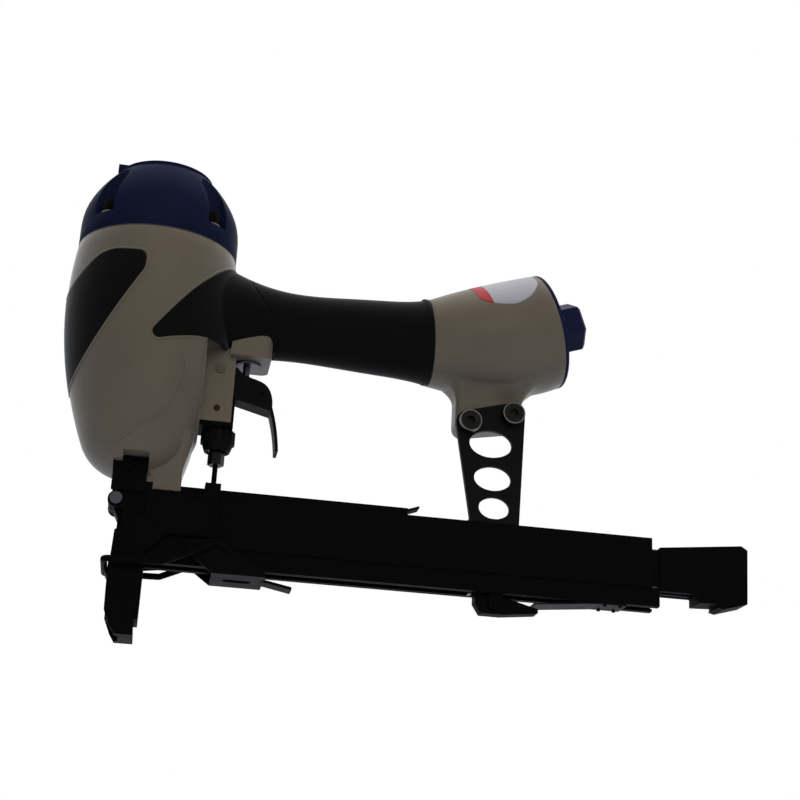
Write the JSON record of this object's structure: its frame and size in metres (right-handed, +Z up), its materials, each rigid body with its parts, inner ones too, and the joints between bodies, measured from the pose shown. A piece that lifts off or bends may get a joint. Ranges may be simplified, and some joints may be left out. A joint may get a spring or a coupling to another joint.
{
  "type": "crown stapler",
  "caption": "Pneumatic crown stapler with a round cast head, rubber grip, contact trip, latched nose door, side bracket and a drawer magazine below.",
  "frame": {"origin": "staple exit: the point of the drive axis in the plane of the work face of the contact foot", "axes": "+Z up along the drive axis, +X from the nose to the rear end of the magazine, +Y to the side away from the bracket"},
  "size_m": [0.3591, 0.0856, 0.247],
  "materials": {
    "cast_body": "satin grey lacquer on a casting",
    "rubber": "moulded, matt",
    "seal": "smooth",
    "dark_cap": "blue black lacquer",
    "black_plastic": "moulded, fine grain",
    "alloy": "dark anodised",
    "black_trigger": "black lacquer",
    "black_steel": "black oxide",
    "bright_steel": "zinc plated"
  },
  "bodies": {
    "gun": {"gun_body": "cast_body", "front_pad": "rubber", "neck_pad": "rubber", "grip_sleeve": "rubber", "cylinder_sleeve": "alloy", "sleeve_rings": "seal", "bumper": "seal", "cap_gasket": "seal", "cylinder_cap": "dark_cap", "cap_washers": "bright_steel", "cap_screws": "black_steel", "deflector_screw": "black_steel", "end_cap": "alloy", "end_cap_ring": "seal", "valve_body": "black_plastic", "trigger_pin": "bright_steel", "trip_guide": "black_steel", "guide_pins": "bright_steel", "nose_body": "black_steel", "nose_screws": "black_steel", "door_pin": "bright_steel", "latch_studs": "bright_steel", "magazine_housing": "black_steel", "top_rail": "black_steel", "latch_pin": "bright_steel", "latch_leaf": "bright_steel", "leaf_rivets": "bright_steel", "magazine_bracket": "black_steel", "bracket_screws": "black_steel", "bracket_rivets": "bright_steel", "head_valve_spring": "bright_steel", "valve_spring": "bright_steel", "trip_spring": "bright_steel"},
    "driver": {"piston": "alloy", "piston_ring": "seal", "driver_blade": "bright_steel"},
    "main_valve": {"head_valve": "black_plastic", "head_valve_ring": "seal"},
    "deflector": {"exhaust_deflector": "black_plastic"},
    "trigger_arm": {"trigger": "black_trigger", "lever_pin": "bright_steel"},
    "lever": {"trigger_lever": "bright_steel"},
    "plunger": {"valve_plunger": "bright_steel"},
    "trip": {"contact_arm": "black_steel", "trip_rod": "bright_steel", "stop_nut": "bright_steel"},
    "knob": {"adjustment_knob": "black_plastic"},
    "latch": {"latch_lever": "black_steel"},
    "bail": {"latch_bail": "bright_steel"},
    "door": {"nose_door": "black_steel"},
    "drawer": {"staple_rail": "bright_steel", "pull_end": "black_trigger", "rail_rivets": "bright_steel"},
    "feeder": {"pusher": "bright_steel", "feed_spring": "bright_steel"},
    "release": {"release_latch": "black_steel"}
  },
  "joints": [
    {"name": "driver_stroke", "type": "slide", "parent": "gun", "child": "driver", "axis": [0, 0, 1], "range_m": [-0.0635, 0]},
    {"name": "head_valve_lift", "type": "slide", "parent": "gun", "child": "main_valve", "axis": [0, 0, 1], "range_m": [0, 0.005], "stiffness_N_per_m": 2000, "springref_m": -0.005, "deforming": ["head_valve_spring"]},
    {"name": "deflector_turn", "type": "hinge", "parent": "gun", "child": "deflector", "pos_m": [0, 0, 0.2413], "axis": [0, 0, 1], "continuous": true},
    {"name": "trigger_pull", "type": "hinge", "parent": "gun", "child": "trigger_arm", "pos_m": [0.0376, 0, 0.1385], "axis": [0, -1, 0], "range_deg": [0, 14], "stiffness_Nm_per_rad": 0.3, "springref_deg": -17.19, "deforming": ["valve_spring"]},
    {"name": "lever_tilt", "type": "hinge", "parent": "trigger_arm", "child": "lever", "pos_m": [0.0595, 0, 0.1286], "axis": [0, -1, 0], "range_deg": [0, 10], "stiffness_Nm_per_rad": 0.01, "springref_deg": -17.19},
    {"name": "plunger_lift", "type": "slide", "parent": "gun", "child": "plunger", "axis": [0, 0, 1], "range_m": [0, 0.0036]},
    {"name": "trip_lift", "type": "slide", "parent": "gun", "child": "trip", "axis": [0, 0, 1], "range_m": [0, 0.0065], "stiffness_N_per_m": 2000, "springref_m": -0.015, "deforming": ["trip_spring"]},
    {"name": "knob_turn", "type": "hinge", "parent": "gun", "child": "knob", "pos_m": [0.0398, 0, 0.1], "axis": [0, 0, 1], "continuous": true},
    {"name": "latch_open", "type": "hinge", "parent": "gun", "child": "latch", "pos_m": [0.0332, 0, 0.044], "axis": [0, 1, 0], "range_deg": [0, 75]},
    {"name": "bail_swing", "type": "hinge", "parent": "latch", "child": "bail", "pos_m": [0.042, 0, 0.046], "axis": [0, 1, 0], "range_deg": [-37, 0]},
    {"name": "door_swing", "type": "hinge", "parent": "gun", "child": "door", "pos_m": [-0.0065, 0, 0.0658], "axis": [0, 1, 0], "range_deg": [0, 10]},
    {"name": "drawer_pull", "type": "slide", "parent": "gun", "child": "drawer", "axis": [1, 0, 0], "range_m": [0, 0.19]},
    {"name": "pusher_feed", "type": "slide", "parent": "drawer", "child": "feeder", "axis": [1, 0, 0], "range_m": [0, 0.19], "stiffness_N_per_m": 15, "springref_m": -0.3, "deforming": ["feed_spring"]},
    {"name": "release_press", "type": "hinge", "parent": "gun", "child": "release", "pos_m": [0.1835, 0, 0.0318], "axis": [0, -1, 0], "range_deg": [0, 12], "stiffness_Nm_per_rad": 0.3, "springref_deg": -11.46, "deforming": ["latch_leaf"]}
  ],
  "couplings": [
    {"joint": "plunger_lift", "follows": "trigger_pull", "m_per_rad": 0.01432},
    {"joint": "bail_swing", "follows": "latch_open", "ratio": -0.48},
    {"joint": "door_swing", "follows": "latch_open", "ratio": 0.13}
  ]
}
